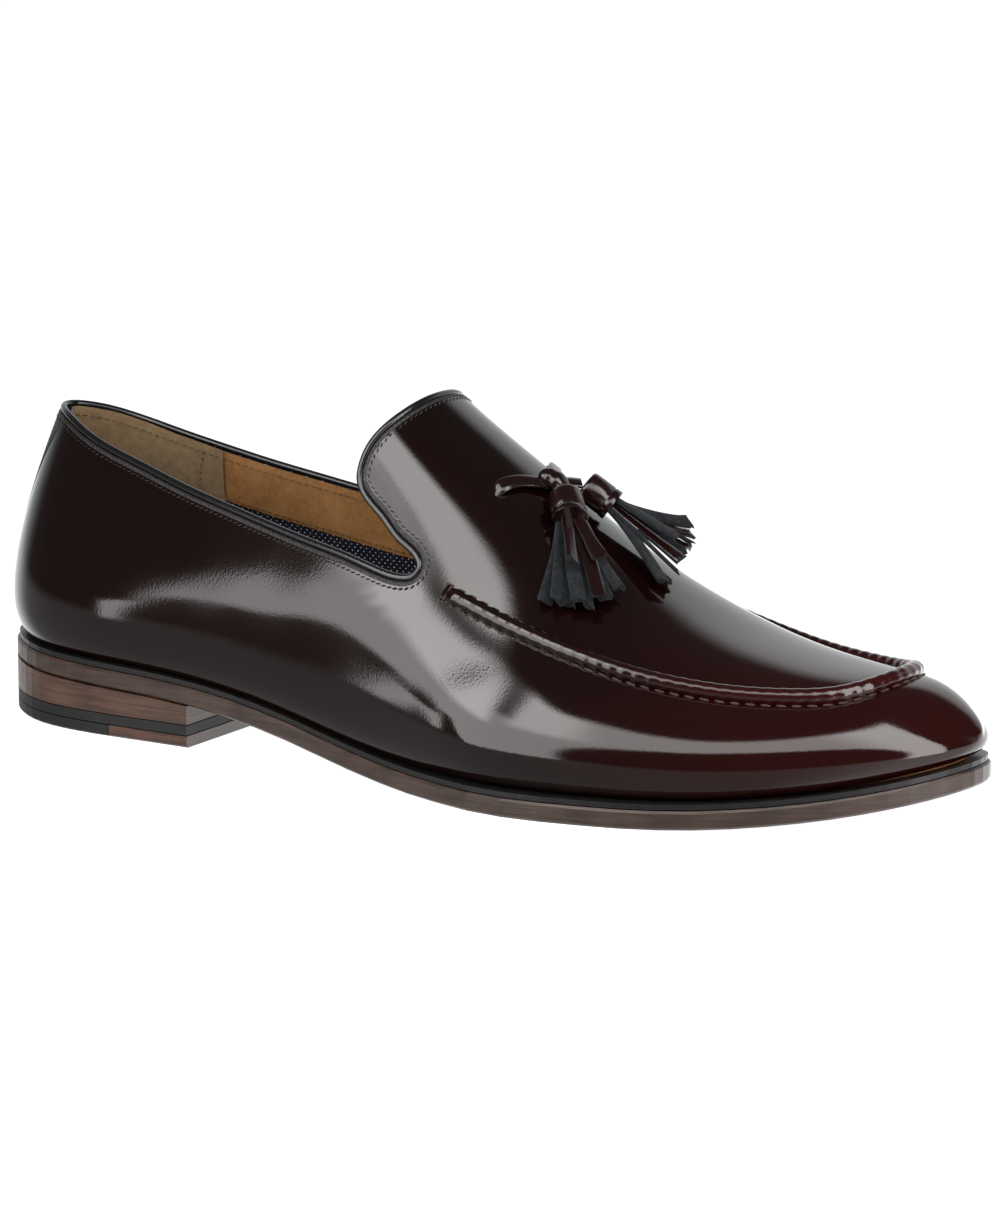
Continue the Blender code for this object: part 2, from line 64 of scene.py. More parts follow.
# The last: one value for each station along the shoe, half widths as shares of the ball width,
# heights as shares of the crest height
STATIONS = (0, .03, .08, .15, .25, .35, .45, .53, .60, .70, .80, .88, .94, .98, 1)
BULGE = {
    -1: (0, .190, .285, .322, .335, .364, .413, .477, .532, .521, .447, .343, .240, .141, 0),
    1: (0, .190, .278, .322, .332, .326, .335, .364, .399, .444, .434, .371, .262, .147, 0),
}
SHOULDER = {
    -1: (0, .091, .149, .188, .238, .283, .330, .350, .359, .363, .303, .231, .159, .087, 0),
    1: (0, .093, .158, .203, .254, .297, .335, .350, .359, .363, .303, .231, .159, .087, 0),
}
UNDERSIDE = (1, .967, .922, .866, .752, .490, .123, -.004, -.012, -.008, .040, .185, .380, .560, .660)
BULGE_RISE = (.11, .11, .11, .11, .11, .105, .10, .095, .09, .085, .075, .065, .055, .045, .04)
SHOULDER_Z = (.86, .845, .80, .73, .665, .605, .553, .505, .446, .367, .320, .310, .300, .265, .220)
CREST_Z = (1.40, 1.42, 1.45, 1.45, 1.38, 1.20, .985, .835, .698, .503, .400, .366, .350, .30, .235)
CREST_SHIFT = (0, 0, 0, 0, 0, 0, 0, 0, 0, .005, .01, .015, .015, .005, 0)

# Edge of the opening seen from the side: shares of the length and of the crest height
RIM = (
    (-.040, .885), (.020, .866), (.040, .853), (.062, .838), (.091, .809), (.123, .776), (.174, .733),
    (.227, .692), (.277, .659), (.327, .627), (.375, .599), (.424, .573), (.461, .548), (.487, .539),
    (.501, .552), (.5053, .580), (.4985, .618), (.477, .658), (.458, .706), (.440, .747), (.430, .787),
    (.4295, .820), (.4345, .873), (.445, .921), (.455, .955), (.464, .985), (.480, 1.03),
)
RIDGE_TURNS = (0, .12, .25, .40, .55, .70, .85, 1)
RIDGE_HALF = (0, .096, .181, .246, .304, .349, .353, .338)


def natural_spline(xs, ys):
    """The smooth curve through the given values, straight at both ends."""
    xs, ys = np.array(xs, float), np.array(ys, float)
    step = np.diff(xs)
    n = len(xs)
    left, right = np.zeros((n, n)), np.zeros(n)
    left[0, 0] = left[-1, -1] = 1
    for i in range(1, n - 1):
        left[i, i - 1:i + 2] = step[i - 1], 2 * (step[i - 1] + step[i]), step[i]
        right[i] = 6 * ((ys[i + 1] - ys[i]) / step[i] - (ys[i] - ys[i - 1]) / step[i - 1])
    bend = np.linalg.solve(left, right)

    def value(x):
        x = np.asarray(x, float)
        i = np.clip(np.searchsorted(xs, x) - 1, 0, n - 2)
        a = (xs[i + 1] - x) / step[i]
        b = 1 - a
        cubic = (a ** 3 - a) * bend[i] + (b ** 3 - b) * bend[i + 1]
        return a * ys[i] + b * ys[i + 1] + cubic * step[i] ** 2 / 6

    return value


def turn(share):
    """Where a share of the length lies on the half turn by which stations are spaced."""
    return np.arccos(np.clip(1 - 2 * np.asarray(share, float), -1, 1)) / pi


def lengthwise(table, size):
    return natural_spline(turn(STATIONS), np.array(table) * size)


def two_sided(tables):
    outer, inner = (lengthwise(tables[side], BALL_WIDTH) for side in (-1, 1))
    return lambda u, side: np.where(np.asarray(side) < 0, outer(u), inner(u))


bulge_half = two_sided(BULGE)
shoulder_half = two_sided(SHOULDER)
bulge_rise = lengthwise(BULGE_RISE, CREST)
shoulder_z = lengthwise(SHOULDER_Z, CREST)
crest_z = lengthwise(CREST_Z, CREST)
crest_shift = lengthwise(CREST_SHIFT, CREST)
underside_share = natural_spline(STATIONS, UNDERSIDE)
ridge_half = natural_spline(RIDGE_TURNS, np.array(RIDGE_HALF) * BALL_WIDTH)


def feather(x):
    """Height of the upper's lower edge, on top of the welt."""
    rise = np.maximum(underside_share(np.clip(x / LENGTH, 0, 1)), 0) * SOLE_RISE
    return rise + SOLE_THICK + WELT_THICK + 2 * GAP


def last_x(u):
    return LAST_BACK + (LAST_TIP - LAST_BACK) * (1 - np.cos(pi * u)) / 2


def lean(x, z, low):
    """How far the heel's counter leans forward above the bulge."""
    return BACK_LEAN * np.clip((z - low) / COUNTER, 0, None) ** 1.7 * np.clip(1 - x / LENGTH, 0, 1) ** 3


def section(u, v, side):
    """Across and up at a station, from the bulge (v 0) over the shoulder (v 1/2) to the crest (v 1)."""
    low = feather(last_x(u)) + bulge_rise(u)
    shift = crest_shift(u)
    bulge = np.stack((side * bulge_half(u, side), low))
    shoulder = np.stack((shift + side * shoulder_half(u, side), shoulder_z(u)))
    crest = np.stack((shift, crest_z(u)))
    first = np.hypot(*(shoulder - bulge))
    second = np.hypot(*(crest - shoulder))
    slope = (shoulder - bulge) / first * second + (crest - shoulder) / second * first
    slope = slope / np.hypot(*slope)
    lower = v < .5
    t = np.where(lower, 2 * v, 2 * v - 1)
    begin, end = np.where(lower, bulge, shoulder), np.where(lower, shoulder, crest)
    leave = np.where(lower, np.stack((0 * first, first)), slope * second)
    arrive = np.where(lower, slope * first, np.stack((-side * second * CREST_PULL, 0 * second)))
    return (
        (2 * t ** 3 - 3 * t ** 2 + 1) * begin + (t ** 3 - 2 * t ** 2 + t) * leave
        + (3 * t ** 2 - 2 * t ** 3) * end + (t ** 3 - t ** 2) * arrive
    )


def surface(u, v, side):
    """Outside of the upper: v is -1 at the feather edge, 0 at the bulge, 1 at the crest."""
    u, v, side = np.broadcast_arrays(np.asarray(u, float), np.asarray(v, float), np.asarray(side, float))
    x = last_x(u)
    low = feather(x) + bulge_rise(u)
    angle = np.clip(-v, 0, 1) * TUCK_ANGLE
    inset = TUCK * (1 - np.cos(angle)) / (1 - np.cos(TUCK_ANGLE))
    e = 1e-4
    dx = last_x(u + e) - last_x(u - e)
    dy = side * (bulge_half(u + e, side) - bulge_half(u - e, side))
    size = np.hypot(dx, dy)
    half = side * bulge_half(u, side)
    tuck = np.stack((
        x + side * inset * dy / size, half - side * inset * dx / size,
        low - (low - feather(x)) * np.sin(angle) / np.sin(TUCK_ANGLE),
    ))
    y, z = section(u, np.maximum(v, 0), side)
    body = np.stack((x + lean(x, z, low), y, z))
    return np.moveaxis(np.where(v < 0, tuck, body), 0, -1)


def normal(u, v, side):
    e = 1e-3
    along = surface(u + e, v, side) - surface(u - e, v, side)
    around = surface(u, v + e, side) - surface(u, v - e, side)
    out = -np.asarray(side, float)[..., None] * np.cross(along, around)
    return out / np.linalg.norm(out, axis=-1, keepdims=True)


def station_under(x, z):
    u = turn(x / LENGTH)
    for _ in range(12):
        here = last_x(u)
        u = turn((x - lean(here, z, feather(here) + bulge_rise(u)) - LAST_BACK) / (LAST_TIP - LAST_BACK))
    return u


def share_where(below, shape):
    """Largest v for which below(v) still holds."""
    low, high = np.zeros(shape), np.ones(shape)
    for _ in range(24):
        middle = (low + high) / 2
        good = below(middle)
        low, high = np.where(good, middle, low), np.where(good, high, middle)
    return low


def from_side(x, z, side):
    u = station_under(x, z)
    side = np.broadcast_to(np.asarray(side, float), u.shape)
    return u, share_where(lambda v: section(u, v, side)[1] < z, u.shape), side


def from_top(x, y):
    z = np.full(np.shape(x), CREST / 2)
    for _ in range(12):
        u = station_under(x, z)
        side = np.where(y >= crest_shift(u), 1., -1.)
        v = share_where(lambda v: side * section(u, v, side)[0] > side * y, u.shape)
        z = section(u, v, side)[1]
    return u, v, side


def over(place, height):
    """Points at a height over places (u, v, side) of the upper."""
    return surface(*place) + normal(*place) * np.asarray(height)[..., None]


rim_points = np.array(RIM) * (LENGTH, CREST)
rim_run = np.concatenate(((0,), np.cumsum(np.hypot(*np.diff(rim_points, axis=0).T))))
rim_x = natural_spline(rim_run, rim_points[:, 0])
rim_z = natural_spline(rim_run, rim_points[:, 1])


def rim_at(s, away):
    """The opening's edge from the side, at a run along it and a distance away from it."""
    e = 1e-4
    dx, dz = rim_x(s + e) - rim_x(s - e), rim_z(s + e) - rim_z(s - e)
    size = np.hypot(dx, dz)
    return rim_x(s) - away * dz / size, rim_z(s) + away * dx / size


def rim_end(start, finish, away):
    for _ in range(30):
        middle = (start + finish) / 2
        x, z = rim_at(middle, away)
        u = station_under(x, z)
        if u > 0 and z < crest_z(u):
            start = middle
        else:
            finish = middle
    return start


def beside_rim(side, away, height, shares):
    """Points along the opening, shares 0 at the back seam to 1 at the crest."""
    centre = rim_run[-1] / 2
    first, final = rim_end(centre, 0, away), rim_end(centre, rim_run[-1], away)
    place = from_side(*rim_at(first + (final - first) * shares, away), side)
    points = over(place, height)
    if shares[0] == 0:
        points[0, 1] = 0
    if shares[-1] == 1:
        points[-1, 1] = crest_shift(place[0][-1])
    return points


# Finishes
class Value:
    """A shader socket that can be used in sums."""

    def __init__(self, finish, socket):
        self.finish, self.socket = finish, socket

    def maths(self, operation, *values):
        return self.finish.node("Math", {"operation": operation}, *values)

    def __add__(self, other):
        return self.maths("ADD", self, other)

    def __sub__(self, other):
        return self.maths("SUBTRACT", self, other)

    def __rsub__(self, other):
        return self.maths("SUBTRACT", other, self)

    def __mul__(self, other):
        return self.maths("MULTIPLY", self, other)

    def __truediv__(self, other):
        return self.maths("DIVIDE", self, other)

    def power(self, other):
        return self.maths("POWER", self, other)

    def sine(self):
        return self.maths("SINE", self)

    def most(self, other):
        return self.maths("MAXIMUM", self, other)

    def size(self):
        return self.maths("ABSOLUTE", self)

    def ramp(self, low, high):
        """0 below low to 1 above high, softly."""
        settings = {"interpolation_type": "SMOOTHSTEP"}
        return self.finish.node("MapRange", settings, {0: self, 1: low, 2: high, 3: 0, 4: 1})

    __radd__, __rmul__ = __add__, __mul__


class Finish:
    """A material, or the surroundings, built up from nodes."""

    def __init__(self, name, kind="materials", place="Object", **constants):
        self.material = getattr(bpy.data, kind).new(name)
        self.material.use_nodes = True
        self.tree = self.material.node_tree
        self.shader = self.tree.nodes["Principled BSDF" if kind == "materials" else "Background"]
        for socket, value in constants.items():
            self.shader.inputs[socket.replace("_", " ").title().replace("Ior", "IOR")].default_value = value
        self.place = self.node("TexCoord", {}, out=place)

    def node(self, kind, settings, *values, out=None):
        node = self.tree.nodes.new("ShaderNode" + kind)
        for name, value in settings.items():
            setattr(node, name, value)
        named = len(values) == 1 and isinstance(values[0], dict)
        for name, value in (values[0] if named else dict(enumerate(values))).items():
            if isinstance(value, Value):
                self.tree.links.new(value.socket, node.inputs[name])
            elif value is not None:
                node.inputs[name].default_value = value
        if out is None:
            return Value(self, next(s for s in node.outputs if s.enabled))
        return Value(self, node.outputs[out])

    def noise(self, scale, detail=2, place=None):
        settings = {"noise_dimensions": "3D"}
        inputs = {"Vector": place or self.place, "Scale": scale, "Detail": detail}
        return self.node("TexNoise", settings, inputs, out=0)

    def cells(self, scale):
        return self.node("TexVoronoi", {"feature": "F1"}, {"Vector": self.place, "Scale": scale}, out="Distance")

    def axis(self, name, place=None):
        return self.node("SeparateXYZ", {}, place or self.place, out=name)

    def stretched(self, scale):
        return self.node("Mapping", {}, {"Vector": self.place, "Scale": scale})

    def blend(self, share, first, second):
        """A colour between two colours."""
        first = (*first, 1) if isinstance(first, tuple) else first
        second = (*second, 1) if isinstance(second, tuple) else second
        inputs = {0: share, 6: first, 7: second}
        return self.node("Mix", {"data_type": "RGBA"}, inputs, out=2)

    def set(self, **links):
        for name, value in links.items():
            socket = self.shader.inputs[name.replace("_", " ").title()]
            self.tree.links.new(value.socket, socket)
        return self

    def bump(self, height, depth):
        inputs = {"Strength": 1.0, "Distance": depth, "Height": height}
        return self.set(normal=self.node("Bump", {}, inputs))


def glossy_leather(name, dark, warm, blur, grain):
    """Brushed box leather: black-brown that clears to burgundy at the toe, smooth with a faint pore."""
    made = Finish(name)
    along = made.axis("X")
    toe = along.ramp(.150 - HEEL_MIDDLE, .290 - HEEL_MIDDLE)
    patchy = made.noise(22, 3)
    clear = toe * .75 + (patchy - .5) * .5
    colour = made.blend(clear.ramp(0, 1), dark, warm)
    pores = made.cells(1500)
    fibres = made.noise(900, 4)
    smudge = made.noise(60, 4)
    made.set(base_color=colour, roughness=smudge * .05 + blur)
    return made.bump(pores * .6 + fibres * .4, grain)


cherry = glossy_leather("black_cherry_box_leather", (.0036, .0010, .0008), (.012, .0012, .0009), .055, .000008)
ridge_cherry = glossy_leather("seam_leather", (.0050, .0014, .0012), (.022, .0022, .0017), .10, .00002)

binding = Finish("rolled_black_binding")
binding.set(base_color=binding.blend(binding.noise(300, 3), (.0035, .0032, .0035), (.007, .0065, .007)),
            roughness=binding.noise(500, 3) * .10 + .14)
binding.bump(binding.noise(1400, 4) * .7 + binding.cells(900) * .5, .00003)

edging = Finish("stitched_black_edging")
weave = (edging.axis("X") * 5200 + edging.axis("Z") * 4200).sine()
edging.set(base_color=edging.blend(edging.noise(700, 2), (.004, .0032, .003), (.010, .008, .0075)),
           roughness=edging.noise(900, 2) * .2 + .5)
edging.bump(weave * .5 + edging.cells(1300), .00012)


def thread(name, first, second):
    made = Finish(name, roughness=.62)
    twist = (made.axis("X") * 9000 + made.axis("Z") * 7000 + made.axis("Y") * 5000).sine()
    made.set(base_color=made.blend(made.noise(400, 2), first, second))
    return made.bump(twist, .00010)


edge_thread = thread("dark_grey_thread", (.006, .005, .0048), (.020, .017, .016))
seam_thread = thread("brown_seam_thread", (.018, .009, .006), (.050, .028, .018))
lining_thread = thread("tan_thread", (.045, .024, .011), (.12, .07, .033))

tan = Finish("tan_lining_leather", specular_ior_level=.35)
tan_mottle = tan.noise(120, 5) * .6 + tan.noise(700, 3) * .4
tan.set(base_color=tan.blend(tan_mottle.ramp(.3, .7), (.190, .088, .028), (.300, .150, .056)),
        roughness=tan.noise(300, 3) * .15 + .42)
tan.bump(tan.cells(1500) * .6 + tan.noise(900, 4) * .5, .00008)

suede = Finish("olive_suede_heel_grip", specular_ior_level=.15, roughness=.95, sheen_weight=.3)
nap = suede.noise(420, 6) * .55 + suede.noise(60, 3) * .45
suede.set(base_color=suede.blend(nap.ramp(.32, .68), (.140, .090, .041), (.215, .140, .068)))
suede.bump(suede.noise(1700, 4), .00015)

textile = Finish("navy_dotted_textile", specular_ior_level=.2, roughness=.85)
DOT_PITCH = .0019
dots = (textile.axis("X") * (2 * pi / DOT_PITCH)).sine() * (textile.axis("Z") * (2 * pi / DOT_PITCH)).sine()
knit = (textile.axis("X") * 8000).sine() * (textile.axis("Z") * 8000).sine()
textile.set(base_color=textile.blend(dots.ramp(.72, .88), (.004, .006, .013), (.42, .43, .47)))
textile.bump(knit, .00005)

tape = Finish("back_strip_weave", roughness=.62)
ribs = (tape.axis("Z") * 5200).sine()
tape.set(base_color=tape.blend(tape.noise(600, 2), (.0035, .0035, .0040), (.010, .0096, .0100)))
tape.bump(ribs * .6 + tape.noise(1200, 3) * .6, .00012)

rand = Finish("black_rand", roughness=.38)
rand.set(base_color=rand.blend(rand.noise(300, 2), (.0025, .0022, .0022), (.005, .0045, .0045)))
rand.bump(rand.noise(900, 3), .00005)


def sole_edge(name, low, high, layers):
    """Trimmed and waxed leather edge with grain that runs along it."""
    made = Finish(name, coat_weight=.15, coat_roughness=.3)
    streaks = made.noise(1, 5, made.stretched((70, 70, 1300)))
    blotches = made.noise(90, 4)
    tone = streaks * .55 + blotches * .45
    if layers:
        seams = ((made.axis("Z") * (2 * pi / layers)).sine()).ramp(.93, 1)
        tone = tone - seams * .25
    made.set(base_color=made.blend(tone.ramp(.32, .68), low, high), roughness=blotches * .2 + .34)
    return made.bump(streaks, .00010)


sole_brown = sole_edge("waxed_sole_edge", (.016, .0085, .0060), (.044, .023, .0155), 0)
stack_brown = sole_edge("stacked_heel_leather", (.024, .0105, .0058), (.072, .033, .018), .0031)

rubber = Finish("black_heel_rubber", roughness=.6, specular_ior_level=.4)
rubber.set(base_color=rubber.blend(rubber.noise(250, 3), (.0035, .0038, .0042), (.009, .0096, .0105)))
rubber.bump(rubber.noise(1500, 3), .00006)

tassel_face = glossy_leather("tassel_leather", (.006, .0015, .0014), (.016, .0025, .0026), .15, .00002)
raw = Finish("raw_suede_back", specular_ior_level=.2, roughness=.95, sheen_weight=.05)
fluff = raw.noise(700, 5)
raw.set(base_color=raw.blend(fluff.ramp(.3, .7), (.0028, .0036, .0045), (.010, .0125, .0155)))
raw.bump(raw.noise(1600, 5), .00022)


# Making of meshes
def sheet(points, closed=False, shut=False, flip=False):
    """A grid laid over rows of points; closed joins the ends of each row, shut fills the first and last."""
    points = np.asarray(points, float)
    if closed:
        points = np.concatenate((points, points[:, :1]), axis=1)
    rows, columns = points.shape[:2]
    across = np.linalg.norm(np.diff(points, axis=1), axis=2).mean(axis=0)
    down = np.linalg.norm(np.diff(points, axis=0), axis=2).mean(axis=1)
    across, down = (np.concatenate(((0,), np.cumsum(steps))) for steps in (across, down))
    bm = bmesh.new()
    bmesh.ops.create_grid(bm, x_segments=columns - 1, y_segments=rows - 1, size=1)
    layer = bm.loops.layers.uv.new("along")
    spots = {}
    for vert in bm.verts:
        spots[vert] = round((vert.co.y + 1) / 2 * (rows - 1)), round((vert.co.x + 1) / 2 * (columns - 1))
    for face in bm.faces:
        for loop in face.loops:
            row, column = spots[loop.vert]
            loop[layer].uv = down[row], across[column]
    for vert, (row, column) in spots.items():
        vert.co = points[row, column] - (HEEL_MIDDLE, 0, 0)
    bmesh.ops.remove_doubles(bm, verts=bm.verts, dist=2e-7)
    bmesh.ops.dissolve_degenerate(bm, edges=bm.edges, dist=1e-7)
    if shut:
        bmesh.ops.holes_fill(bm, edges=[edge for edge in bm.edges if edge.is_boundary], sides=0)
    if closed and shut:
        bmesh.ops.recalc_face_normals(bm, faces=bm.faces)
    elif flip:
        bmesh.ops.reverse_faces(bm, faces=bm.faces)
    return bm


def piece(name, bm, finishes, replaced=(), crease=50):
    """Puts a mesh on the shoe, smooth but for the edges sharper than the crease."""
    mesh = bpy.data.meshes.new(name)
    bm.to_mesh(mesh)
    bm.free()
    for finish in finishes:
        mesh.materials.append(finish.material)
    mesh.shade_smooth()
    mesh.set_sharp_from_angle(angle=radians(crease))
    made = bpy.data.objects.new(name, mesh)
    bpy.context.scene.collection.objects.link(made)
    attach(made, "root")
    if replaced:
        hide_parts(*replaced)
    return made


def walled(made, thickness):
    wall = made.modifiers.new("wall", "SOLIDIFY")
    wall.thickness = thickness
    wall.offset = -1
    wall.use_even_offset = True


def settled(made):
    """Makes the modifiers' result the mesh itself."""
    result = bpy.data.meshes.new_from_object(made.evaluated_get(bpy.context.evaluated_depsgraph_get()))
    made.modifiers.clear()
    made.data = result


def joined(parts):
    whole = bmesh.new()
    for bm in parts:
        step = bpy.data.meshes.new("step")
        bm.to_mesh(step)
        bm.free()
        whole.from_mesh(step)
        bpy.data.meshes.remove(step)
    return whole


def spaced(points, count):
    run = np.concatenate(((0,), np.cumsum(np.linalg.norm(np.diff(points, axis=0), axis=1))))
    return np.stack([np.interp(np.linspace(0, run[-1], count), run, axis) for axis in points.T], axis=1)


def unit(vector):
    return vector / np.linalg.norm(vector, axis=-1, keepdims=True)


def courses(points):
    """Direction of a line of points at each of them."""
    return unit(np.gradient(points, axis=0))


def stitches(points, directions, normals, length, thick, slant=0.0, rise=.5):
    """One sewn thread: small bars that lie along a line of points and dip in at both ends."""
    bm = bmesh.new()
    for place, along, out in zip(points, directions, normals):
        side = np.cross(out, along)
        lie = along * cos(slant) + side * sin(slant)
        frame_of = np.stack((lie * length / 2, np.cross(out, lie) * thick / 2, out * thick / 2), axis=1)
        spot = place + out * thick * (rise - .5) - (HEEL_MIDDLE, 0, 0)
        matrix = Matrix.Translation(Vector(spot)) @ Matrix(frame_of.tolist()).to_4x4()
        bmesh.ops.create_uvsphere(bm, u_segments=6, v_segments=6, radius=1, matrix=matrix)
    return bm


# Upper: box leather over the last, cut to the topline
LEATHER = 0.0010
UPPER_STATIONS, UPPER_ROWS = 241, 54
LINING_STATIONS, LINING_ROWS = 121, 34
BARE_HEIGHT, BARE_LENGTH = .97 * CREST, .385 * LENGTH
WAVE_HEIGHT = .000006
# Start and end of each crease from the side, its depth and its half width
CREASES = (
    ((.1475, .0525), (.1350, .0475), .00022, .0011),
    ((.1500, .0510), (.1400, .0440), .00016, .0010),
    ((.1440, .0535), (.1300, .0500), .00014, .0012),
)


def relief(points):
    """Hand-lasted leather: long soft waves, and short creases at the corner of the opening."""
    x, _, z = np.moveaxis(points, -1, 0)
    waves = (np.sin(x * 210 + z * 170) + .6 * np.sin(x * 330 - z * 260 + 1.7)
             + .5 * np.sin(z * 420 + x * 90 + .6))
    height = waves * WAVE_HEIGHT
    for (x0, z0), (x1, z1), depth, width in CREASES:
        run = np.clip(((x - x0) * (x1 - x0) + (z - z0) * (z1 - z0)) / ((x1 - x0) ** 2 + (z1 - z0) ** 2), 0, 1)
        off = np.hypot(x - x0 - run * (x1 - x0), z - z0 - run * (z1 - z0))
        height = height - depth * np.exp(-(off / width) ** 2) * (1 - run) ** .5
    return height


def last_places(stations, rows):
    """Places over the whole last, each station from the outer feather edge over the crest to the inner one."""
    arc = np.concatenate((np.linspace(-1, 0, 9)[:-1], np.linspace(0, 1, rows)))
    v = np.concatenate((arc, arc[-2::-1]))
    side = np.concatenate((-np.ones(len(arc)), np.ones(len(arc) - 1)))
    u, v = np.meshgrid(np.linspace(0, 1, stations), v, indexing="ij")
    return u, v, np.broadcast_to(side, u.shape)


def topline_cutter():
    """A block as wide as the shoe, with the opening's side view as its lower edge."""
    bm = bmesh.new()
    outline = [(rim_x(s), rim_z(s)) for s in np.linspace(0, rim_run[-1], 200)]
    outline += [(.52 * LENGTH, 1.7 * CREST), (-.1 * LENGTH, 1.7 * CREST)]
    verts = [bm.verts.new((x - HEEL_MIDDLE, -BALL_WIDTH, z)) for x, z in outline]
    edges = [bm.edges.new(pair) for pair in zip(verts, verts[1:] + verts[:1])]
    bmesh.ops.contextual_create(bm, geom=edges)
    pushed = bmesh.ops.extrude_face_region(bm, geom=bm.faces[:])["geom"]
    moved = [part for part in pushed if isinstance(part, bmesh.types.BMVert)]
    bmesh.ops.translate(bm, verts=moved, vec=(0, 2 * BALL_WIDTH, 0))
    bmesh.ops.recalc_face_normals(bm, faces=bm.faces)
    mesh = bpy.data.meshes.new("topline_cutter")
    bm.to_mesh(mesh)
    bm.free()
    cutter = bpy.data.objects.new("topline_cutter", mesh)
    bpy.context.scene.collection.objects.link(cutter)
    return cutter


cutter = topline_cutter()


def cut_open(made):
    cut = made.modifiers.new("topline", "BOOLEAN")
    cut.object = cutter
    cut.operation = "DIFFERENCE"
    cut.solver = "EXACT"
    cut.use_self = True
    settled(made)


def opened(bm):
    """Clears the closed crest well above the opening, where the two sides of the last run together."""
    spare = [face for face in bm.faces if face.calc_center_median().z > BARE_HEIGHT
             and face.calc_center_median().x < BARE_LENGTH - HEEL_MIDDLE]
    bmesh.ops.delete(bm, geom=spare, context="FACES")
    return bm


places = last_places(UPPER_STATIONS, UPPER_ROWS)
shaped = over(places, relief(surface(*places)))
upper = piece("upper_leather", opened(sheet(shaped, flip=True)), [cherry],
              replaced=("upper",), crease=40)
walled(upper, LEATHER)
cut_open(upper)

places = last_places(LINING_STATIONS, LINING_ROWS)
inside = over(places, np.full(places[0].shape, -LEATHER))
lining = piece("lining", opened(sheet(inside, flip=True)), [textile], crease=40)
walled(lining, WALL - LEATHER)
cut_open(lining)
bpy.data.objects.remove(cutter, do_unlink=True)


# Round the opening
dense = (1 - np.cos(pi * np.linspace(0, 1, 801))) / 2
dense_run = beside_rim(-1, 0, np.zeros(801), dense)
dense_run = np.concatenate(((0,), np.cumsum(np.linalg.norm(np.diff(dense_run, axis=0), axis=1))))


def shares_of(count, first=0.):
    """Shares at equal steps along the edge itself, from the first to the crest."""
    run = np.linspace(*np.interp((first, 1), dense, dense_run), count)
    return np.interp(run, dense_run, dense)


def round_opening(away, height, shares):
    outer = beside_rim(-1, away, np.full(len(shares), height), shares)
    inner = beside_rim(1, away, np.full(len(shares), height), shares)
    return np.concatenate((outer, inner[-2:0:-1]))


ROUND = shares_of(230)
ROLL_AWAY, ROLL_DEPTH, ROLL_RADIUS = .00125, .00080, .00098
roll = np.stack([
    round_opening(ROLL_AWAY + ROLL_RADIUS * cos(a), -ROLL_DEPTH + ROLL_RADIUS * sin(a), ROUND)
    for a in np.linspace(0, 2 * pi, 14, endpoint=False)
], axis=1)
roll = np.concatenate((roll, roll[:1]))
piece("collar_roll", sheet(roll, closed=True), [binding], replaced=("collar_binding",))

# Away from the edge and up, in millimetres
EDGING = ((-.95, -.25), (-1.00, .04), (-.85, .13), (-.60, .17), (-.25, .15), (.2, -.2))
band = np.stack([round_opening(a / 1000, h / 1000, ROUND) for a, h in EDGING], axis=1)
band = np.concatenate((band, band[:1]))
piece("collar_edging", sheet(band, flip=True), [edging])


EDGE_STITCH, EDGE_PITCH, EDGE_THICK = .00150, .0018, .00048


def sewn_round(away, height, pitch, first=0.):
    """Places, directions and normals of stitches beside the opening."""
    rows = []
    for side in (-1, 1):
        shares = shares_of(400, first)
        line = beside_rim(side, away, np.full(400, height), shares)
        above = beside_rim(side, away, np.full(400, height + .001), shares)
        length = np.linalg.norm(np.diff(line, axis=0), axis=1).sum()
        count = int(length / pitch)
        line, above = spaced(line, count), spaced(above, count)
        rows.append((line, courses(line), unit(above - line)))
    return [np.concatenate(part) for part in zip(*rows)]


piece("collar_stitches",
      stitches(*sewn_round(-.0017, .00014, EDGE_PITCH), EDGE_STITCH, EDGE_THICK, slant=.40),
      [edge_thread])

# Lining: tan facing round the opening, suede grip at the heel
GRIP_END = .0487
FACING = .0147
LINING_TOP = .0007
FACING_HEIGHT, GRIP_HEIGHT = -WALL - .0004, -WALL - .0012
LINING_STITCH, LINING_PITCH, LINING_THICK = .0015, .0021, .00040

shares = shares_of(800)
seam_share = float(np.interp(GRIP_END, beside_rim(-1, 0, np.zeros(800), shares)[:500, 0], shares[:500]))
shares = shares_of(170, seam_share)
rows = []
for away in np.linspace(LINING_TOP, -FACING, 12):
    outer, inner = (beside_rim(side, away, np.full(len(shares), FACING_HEIGHT), shares) for side in (-1, 1))
    rows.append(np.concatenate((outer, inner[-2::-1])))
piece("quarter_lining", sheet(np.stack(rows, axis=1), flip=True), [tan])

ends = turn(np.linspace(0, GRIP_END, 60) / LENGTH)
rows = []
for side in (-1, 1):
    for u in (ends[:0:-1] if side < 0 else ends):
        rim_height = np.interp(float(surface(u, .4, side)[0]), *rim_points[:12].T)
        top = share_where(lambda v: section(u, v, side)[1] < rim_height + LINING_TOP, (1,))[0]
        v = np.linspace(-.55, top, 26)
        rows.append(over((np.full(26, u), v, np.full(26, float(side))), np.full(26, GRIP_HEIGHT)))
piece("heel_grip", sheet(rows), [suede])

